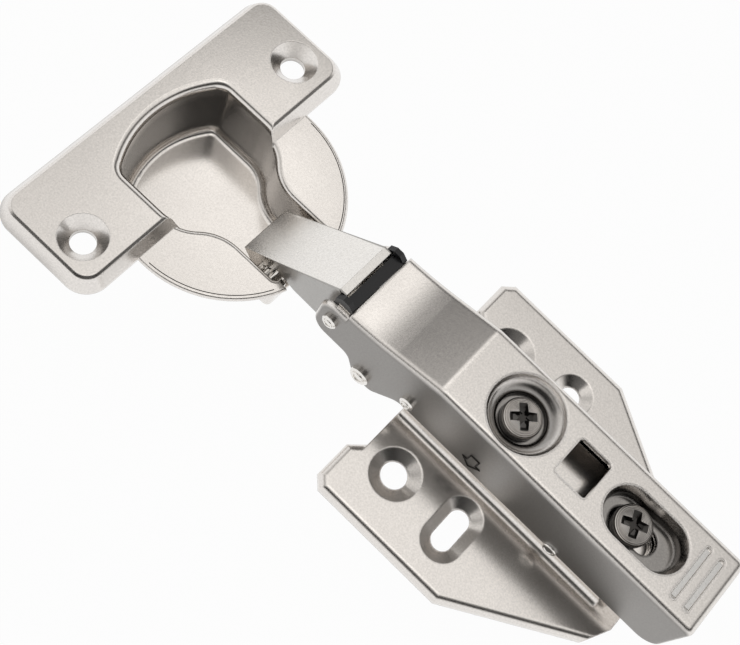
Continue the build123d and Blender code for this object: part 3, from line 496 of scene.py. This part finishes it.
# near-black finish of the arrow and the bead: painted shade of a fine groove and line
line_shade = metal("line_painted_shade", (0.03, 0.028, 0.026), (0.4, 0.45), 0.1, 0.02)
arrow = wire(path, arrow_line, closed=True)
mesh_piece("direction_arrow", *arrow, line_shade, "arm", smooth=True)
print("arrow points:", len(path))

# %% [markdown]
# ## Bead round the cover of the cup
# The half disc has a fine line just inside its rim, on both sides of the neck, drawn as
# a near-black wire: painted shade of the line. It is an arc, so its points come from a
# formula, in the cup's own tilted frame.

# %% Bead
def cup_place(s, y, depth):
    """Point in mm from its place along, across and below the flange's top."""
    return cup_middle / MM + s * cup_along + Vector((0, y, 0)) - depth * cup_up


bead_r = 18.85
bead_line = 0.09
bead_depth = 2.49
bead_from, bead_to = 24, 88
bead_steps = 48
for sign, side in ((1, "left"), (-1, "right")):
    arc = []
    for step in range(bead_steps + 1):
        turn = radians(bead_from + (bead_to - bead_from) * step / bead_steps)
        arc.append(cup_place(-bead_r * cos(turn), sign * bead_r * sin(turn), bead_depth))
    bead = wire(arc, bead_line, closed=False)
    mesh_piece("cover_bead_" + side, *bead, line_shade, "cup", smooth=True)
print("bead radius", bead_r)


# %% [markdown]
# ## Front guide and outer link
# The solid models leave a gap between the outer link and the arm's mouth. Two plain
# blocks cover it: a lip of the black guide, and a short tail of the link over it. Each
# rides on its own body. They are a patch on the models, not pieces of their own.

# %% Lip and tail
def block(low, high):
    """Points and faces of a block between two corners in mm."""
    xs, ys, zs = zip(low, high)
    verts = [(x, y, z) for x in xs for y in ys for z in zs]
    faces = [(0, 1, 3, 2), (4, 6, 7, 5), (0, 4, 5, 1)]
    faces += [(2, 3, 7, 6), (0, 2, 6, 4), (1, 5, 7, 3)]
    return verts, faces


lip = block((29.3, -5.3, 14.3), (29.9, 5.3, 16.2))
tail = block((30.3, -5.25, 15.95), (31.7, 5.25, 16.75))
mesh_piece("guide_lip", *lip, finishes["black_plastic"], "arm")
mesh_piece("link_tail", *tail, special["outer_link"], "outer_link")
print("lip and tail made")

# %% [markdown]
# ## Repeating pieces
# Each rivet ends in a low ring, and each grip groove has a bright floor. They could be
# modelled one by one, but one small node tree can set a shape on every point of a list,
# at that point's own size, so a new rivet is only a new point.

# %% Tree that repeats a shape on points
def repeat_tree(name, make_shape):
    """Geometry tree: its shape on each point, sized by the point's own size."""
    tree = bpy.data.node_groups.new(name, "GeometryNodeTree")
    tree.interface.new_socket("Points", in_out="INPUT", socket_type="NodeSocketGeometry")
    tree.interface.new_socket("Finish", in_out="INPUT", socket_type="NodeSocketMaterial")
    tree.interface.new_socket("Turn", in_out="INPUT", socket_type="NodeSocketVector")
    tree.interface.new_socket("Shape", in_out="OUTPUT", socket_type="NodeSocketGeometry")
    entry = tree.nodes.new("NodeGroupInput")
    leave = tree.nodes.new("NodeGroupOutput")
    shape = make_shape(tree)
    size = add_node(tree, "GeometryNodeInputNamedAttribute", data_type="FLOAT_VECTOR")
    size.inputs["Name"].default_value = "size"
    place = tree.nodes.new("GeometryNodeInstanceOnPoints")
    real = tree.nodes.new("GeometryNodeRealizeInstances")
    paint = tree.nodes.new("GeometryNodeSetMaterial")
    tree.links.new(entry.outputs["Points"], place.inputs["Points"])
    tree.links.new(shape, place.inputs["Instance"])
    tree.links.new(entry.outputs["Turn"], place.inputs["Rotation"])
    tree.links.new(size.outputs["Attribute"], place.inputs["Scale"])
    tree.links.new(place.outputs["Instances"], real.inputs["Geometry"])
    tree.links.new(real.outputs["Geometry"], paint.inputs["Geometry"])
    tree.links.new(entry.outputs["Finish"], paint.inputs["Material"])
    tree.links.new(paint.outputs["Geometry"], leave.inputs["Shape"])
    return tree


def ring_shape(tree):
    """Ring of radius 1 with a round section."""
    path = add_node(tree, "GeometryNodeCurvePrimitiveCircle", Resolution=32, Radius=1.0)
    section = add_node(tree, "GeometryNodeCurvePrimitiveCircle", Resolution=10, Radius=0.24)
    body = tree.nodes.new("GeometryNodeCurveToMesh")
    tree.links.new(path.outputs["Curve"], body.inputs["Curve"])
    tree.links.new(section.outputs["Curve"], body.inputs["Profile Curve"])
    return body.outputs["Mesh"]


def bar_shape(tree):
    """Bar of length, width and height 1."""
    bar = tree.nodes.new("GeometryNodeMeshCube")
    return bar.outputs["Mesh"]


def repeat(name, tree, points, sizes, turn, finish, body):
    """Plain mesh of a tree's shape at points in mm, sized in mm, riding on a body."""
    mesh = bpy.data.meshes.new(name + "_points")
    mesh.from_pydata([Vector(p) * MM for p in points], [], [])
    sizes_of = mesh.attributes.new("size", "FLOAT_VECTOR", "POINT")
    for item, size in zip(sizes_of.data, sizes):
        item.vector = Vector(size) * MM
    base = bpy.data.objects.new(name + "_points", mesh)
    scene.collection.objects.link(base)
    modifier = base.modifiers.new("repeat", "NODES")
    modifier.node_group = tree
    for socket in tree.interface.items_tree:
        if socket.in_out == "INPUT" and socket.name == "Finish":
            modifier[socket.identifier] = finish
        if socket.in_out == "INPUT" and socket.name == "Turn":
            modifier[socket.identifier] = turn
    graph = bpy.context.evaluated_depsgraph_get()
    plain = bpy.data.meshes.new_from_object(base.evaluated_get(graph))
    bpy.data.objects.remove(base)
    piece = bpy.data.objects.new(name, plain)
    scene.collection.objects.link(piece)
    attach(piece, body)
    return piece


# %% Build the two trees
rings = repeat_tree("rings_on_points", ring_shape)
bars = repeat_tree("bars_on_points", bar_shape)
print("trees:", rings.name, bars.name)

# %% Rivet ends and groove floors
rivets = [((29.76, 11.26), 0.75), ((20.96, 3.91), 1.05), ((12.56, 9.33), 0.72)]
rivet_end = arm_half + 0.85
dimple = (-18.74, 6.9)
dimple_r = 1.05
dimple_end = arm_half + 0.3
ends = [((x, side * rivet_end, z), r) for (x, z), r in rivets for side in (1, -1)]
ends += [((dimple[0], side * dimple_end, dimple[1]), dimple_r) for side in (1, -1)]
ring_piece = repeat(
    "rivet_ends",
    rings,
    [place for place, r in ends],
    [(r, r, r) for place, r in ends],
    (radians(90), 0, 0),
    finishes["bright_steel"],
    "arm",
)
for face in ring_piece.data.polygons:
    face.use_smooth = True
groove_floor = metal("groove_floor", (0.93, 0.92, 0.90), (0.42, 0.5), 0.3, 0.02)
grooves = [(-34.64, 0, 19.72), (-37.24, 0, 19.72)]
groove_size = (0.8, 9.2, 0.12)
groove_sizes = [groove_size] * len(grooves)
repeat("groove_floors", bars, grooves, groove_sizes, (0, 0, 0), groove_floor, "arm")
print("rivet ends:", len(ends), "grooves:", len(grooves))


# %% [markdown]
# ## Screw heads
# A driver needs a deep cross with sloping wings. Each head gets a turned crown with a
# cross cut into it: a low dome, minus two tapering bars. A Boolean cuts it, and gives
# the walls of the cross the near-black finish of the bars, as painted shade in the cross.

# %% Helpers for a crown with a cross
def revolve(profile, middle, sides):
    """Points and faces of a closed profile of (radius, height) turned about Z, in mm."""
    verts = []
    faces = []
    for k in range(sides):
        turn = tau * k / sides
        for radius, height in profile[1:-1]:
            verts.append(
                (middle[0] + radius * cos(turn), middle[1] + radius * sin(turn), height)
            )
    inner = len(profile) - 2
    low = len(verts)
    verts.append((middle[0], middle[1], profile[0][1]))
    verts.append((middle[0], middle[1], profile[-1][1]))
    for k in range(sides):
        m = (k + 1) % sides
        faces.append((low, m * inner, k * inner))
        for i in range(inner - 1):
            here, there = k * inner + i, m * inner + i
            faces.append((here, there, there + 1, here + 1))
        faces.append((low + 1, k * inner + inner - 1, m * inner + inner - 1))
    return verts, faces


def taper_bar(middle, length, width, low, high, turn):
    """Bar across a head, wider at its top, turned about the head's axis."""
    verts = []
    low_share, high_share = 0.5, 1.1
    for height, share in ((low, low_share), (high, high_share)):
        for x, y in ((-1, -1), (1, -1), (1, 1), (-1, 1)):
            px, py = x * length * share / 2, y * width * share / 2
            verts.append(
                (
                    middle[0] + px * cos(turn) - py * sin(turn),
                    middle[1] + px * sin(turn) + py * cos(turn),
                    height,
                )
            )
    faces = [(0, 3, 2, 1), (4, 5, 6, 7)]
    faces += [(k, (k + 1) % 4, 4 + (k + 1) % 4, 4 + k) for k in range(4)]
    return verts, faces


def cut_away(piece, verts, faces, finish):
    """Cut a shape in mm out of a piece, and give the new walls a finish."""
    tool_mesh = bpy.data.meshes.new("cross")
    tool_mesh.from_pydata([Vector(v) * MM for v in verts], [], faces)
    tool_mesh.materials.append(finish)
    tool = bpy.data.objects.new("cross", tool_mesh)
    scene.collection.objects.link(tool)
    cut = piece.modifiers.new("cross", "BOOLEAN")
    cut.operation = "DIFFERENCE"
    cut.solver = "EXACT"
    cut.material_mode = "TRANSFER"
    cut.object = tool
    graph = bpy.context.evaluated_depsgraph_get()
    shape = bpy.data.meshes.new_from_object(piece.evaluated_get(graph))
    piece.modifiers.clear()
    piece.data = shape
    bpy.data.objects.remove(tool)


def sharpen(piece, sharp_from):
    """Shade smooth, but keep edges sharper than an angle in degrees."""
    shape = bmesh.new()
    shape.from_mesh(piece.data)
    for edge in shape.edges:
        edge.smooth = edge.calc_face_angle(0) < radians(sharp_from)
    shape.to_mesh(piece.data)
    shape.free()


# %% Two screw crowns
# near-black walls of the cross: painted shade in the recess
cross_painted_shade = metal("cross_painted_shade", (0.07, 0.066, 0.062), (0.3, 0.36), 0.2, 0.04)
crown_tint = (0.5, 0.475, 0.45)
crown_rough = (0.14, 0.18)
head_rim = 17.7
head_top = 18.75
rim_r = 3.25
dome_r = 3.2
dome_foot = head_rim + 0.2
dome_rise = 0.85
cross_length = 5.0
cross_width = 1.5
cross_foot = head_rim + 0.1
dome = [(0.0, head_rim), (3.18, head_rim), (rim_r, head_rim + 0.15)]
for angle in range(8, 84, 8):
    rise = dome_rise * sin(radians(angle))
    dome.append((dome_r * cos(radians(angle)), dome_foot + rise))
dome.append((0.0, head_top))
for label, x, body, first_turn in (
    ("overlay", -1.34, "overlay_adjuster", radians(42)),
    ("depth", -24.14, "depth_adjuster", radians(24)),
):
    middle = (x, 0)
    name = label + "_crown"
    crown_steel = metal(name, crown_tint, crown_rough, 0.4, 0.05, centre=(x, 0, 0))
    head = revolve(dome, middle, 64)
    crown = mesh_piece(name, *head, crown_steel, None, smooth=True)
    for turn in (first_turn, first_turn + tau / 4):
        bar = taper_bar(
            middle, cross_length, cross_width, cross_foot, head_top + 0.2, turn
        )
        cut_away(crown, *bar, cross_painted_shade)
    sharpen(crown, 35)
    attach(crown, body)
    print(label, "crown faces:", len(crown.data.polygons))

# %% [markdown]
# ## Floor and light
# Plated metal is drawn by what it mirrors. A studio for small hardware is a white table
# with a low white backdrop round it, in a dim room with one large soft light overhead.
# Flat faces mirror the light, side plates mirror the table, and dark lines come from the
# room between the light and the backdrop. Lamps could do it too, but the world can draw
# the light, the room and the backdrop by direction alone.


# %% Helpers for the light
def ramp(tree, stops):
    """Colour ramp node with grey or coloured stops."""
    node = tree.nodes.new("ShaderNodeValToRGB")
    elements = node.color_ramp.elements
    while len(elements) > 1:
        elements.remove(elements[-1])
    elements[0].position = stops[0][0]
    elements[0].color = (*stops[0][1], 1)
    for place, colour in stops[1:]:
        elements.new(place).color = (*colour, 1)
    return node


def grey(value):
    """Slightly warm grey of a studio."""
    return (value, 0.985 * value, 0.965 * value)


def lighter(tree, first, second, factor=1.0):
    """Output with the lighter of two colours."""
    node = add_node(tree, "ShaderNodeMix", data_type="RGBA", blend_type="LIGHTEN")
    plug(tree, factor, node.inputs["Factor"])
    plug(tree, first, node.inputs["A"])
    plug(tree, second, node.inputs["B"])
    return node.outputs["Result"]


print("helpers ready")


# %% Floor
floor_drop = 12.0
floor_half = 3.0
floor_z = cad_box[0][2] - floor_drop * MM
floor_middle = 30 * MM
floor_place = (floor_middle, 0, floor_z)
bpy.ops.mesh.primitive_plane_add(size=2 * floor_half, location=floor_place)
floor = bpy.context.object
floor.name = "floor"
floor_paint = bpy.data.materials.new("floor_paint")
floor_paint.use_nodes = True
tree = floor_paint.node_tree
tree.nodes.clear()
out = add_node(tree, "ShaderNodeOutputMaterial")
paint = add_node(tree, "ShaderNodeBsdfDiffuse", Color=(0.8, 0.8, 0.8, 1))
glow = add_node(tree, "ShaderNodeEmission", Color=(1, 1, 1, 1), Strength=1.0)
blend = add_node(tree, "ShaderNodeMixShader")
path = add_node(tree, "ShaderNodeLightPath")
# rays that see the white table; the rest of the share keeps the object's shadow
white_share = 0.97
seen = math_node(
    tree, "MAXIMUM", path.outputs["Is Camera Ray"], path.outputs["Is Glossy Ray"]
)
seen = math_node(tree, "MAXIMUM", seen, path.outputs["Is Transmission Ray"])
plug(tree, math_node(tree, "MULTIPLY", seen, white_share), blend.inputs["Fac"])
tree.links.new(paint.outputs[0], blend.inputs[1])
tree.links.new(glow.outputs[0], blend.inputs[2])
tree.links.new(blend.outputs[0], out.inputs["Surface"])
floor.data.materials.append(floor_paint)
print("floor at", round(floor_z / MM, 1), "mm")

# %% [markdown]
# ## World
# The world draws the studio by direction. The camera sees plain white everywhere. Metal
# sees the white backdrop low down, the dim room above it, and the soft light on top.

# %% World
world = bpy.data.worlds.new("studio")
scene.world = world
world.use_nodes = True
tree = world.node_tree
tree.nodes.clear()
out = add_node(tree, "ShaderNodeOutputWorld")
room = add_node(tree, "ShaderNodeBackground", Strength=1.0)
white = add_node(tree, "ShaderNodeBackground", Color=(1, 1, 1, 1), Strength=1.0)
pick = add_node(tree, "ShaderNodeMixShader")
path = add_node(tree, "ShaderNodeLightPath")
where = add_node(tree, "ShaderNodeTexCoord")
split = add_node(tree, "ShaderNodeSeparateXYZ")
tree.links.new(where.outputs["Generated"], split.inputs[0])
# the overhead light is a round one: it ends softly about 53 degrees above the horizon
overhead = ramp(
    tree,
    [
        (0.0, grey(0.08)),
        (0.70, grey(0.09)),
        (0.785, grey(0.16)),
        (0.815, grey(0.5)),
        (0.85, grey(0.72)),
        (0.88, grey(0.86)),
        (0.94, grey(1.0)),
        (0.98, grey(1.05)),
        (1.0, grey(1.6)),
    ],
)
tree.links.new(split.outputs["Z"], overhead.inputs["Fac"])
# it hangs away from the viewer, so what faces the viewer mirrors the dark room
viewer_way = (-1.0, 1.0, 0.0)
towards = vector_node(tree, "DOT_PRODUCT", where.outputs["Generated"], viewer_way)
cut_off = fade(tree, towards, 0.2, 0.38, to=(1.0, 0.14), kind="SMOOTHSTEP")
hung = add_node(tree, "ShaderNodeMix", data_type="RGBA")
hung.inputs["A"].default_value = (0, 0, 0, 1)
tree.links.new(cut_off, hung.inputs["Factor"])
tree.links.new(overhead.outputs["Color"], hung.inputs["B"])
# a small bright panel hangs in it, towards the front of the cup
panel_way = Vector((0.272, -0.419, 0.866)).normalized()
facing = vector_node(tree, "DOT_PRODUCT", where.outputs["Generated"], panel_way)
black = (0, 0, 0)
panel_stops = [(0.0, black), (0.9915, black), (0.9965, grey(1.2)), (1.0, grey(1.45))]
panel = ramp(tree, panel_stops)
tree.links.new(facing, panel.inputs["Fac"])
# a second light stands beyond the cup
side_stops = [(0.0, black), (0.5, black), (0.66, grey(0.75)), (1.0, grey(0.9))]
side = ramp(tree, side_stops)
tree.links.new(split.outputs["X"], side.inputs["Fac"])
both_lights = lighter(tree, hung.outputs["Result"], side.outputs["Color"])
all_lights = lighter(tree, both_lights, panel.outputs["Color"])
# the white backdrop stands all round, up to 30 degrees, and metal and glass show it too
white_stop = (0.97, 0.97, 0.97)
backdrop_stops = [(0.0, (1, 1, 1)), (0.4, white_stop), (0.52, grey(0.8)), (0.66, black)]
backdrop = ramp(tree, backdrop_stops)
tree.links.new(split.outputs["Z"], backdrop.inputs["Fac"])
shown = math_node(
    tree, "MAXIMUM", path.outputs["Is Glossy Ray"], path.outputs["Is Transmission Ray"]
)
surround = lighter(tree, all_lights, backdrop.outputs["Color"], shown)
tree.links.new(surround, room.inputs["Color"])
tree.links.new(path.outputs["Is Camera Ray"], pick.inputs["Fac"])
tree.links.new(room.outputs[0], pick.inputs[1])
tree.links.new(white.outputs[0], pick.inputs[2])
tree.links.new(pick.outputs[0], out.inputs["Surface"])
print("world:", world.name)

# %% Picture settings
scene.view_settings.view_transform = "Standard"
print("view transform:", scene.view_settings.view_transform)
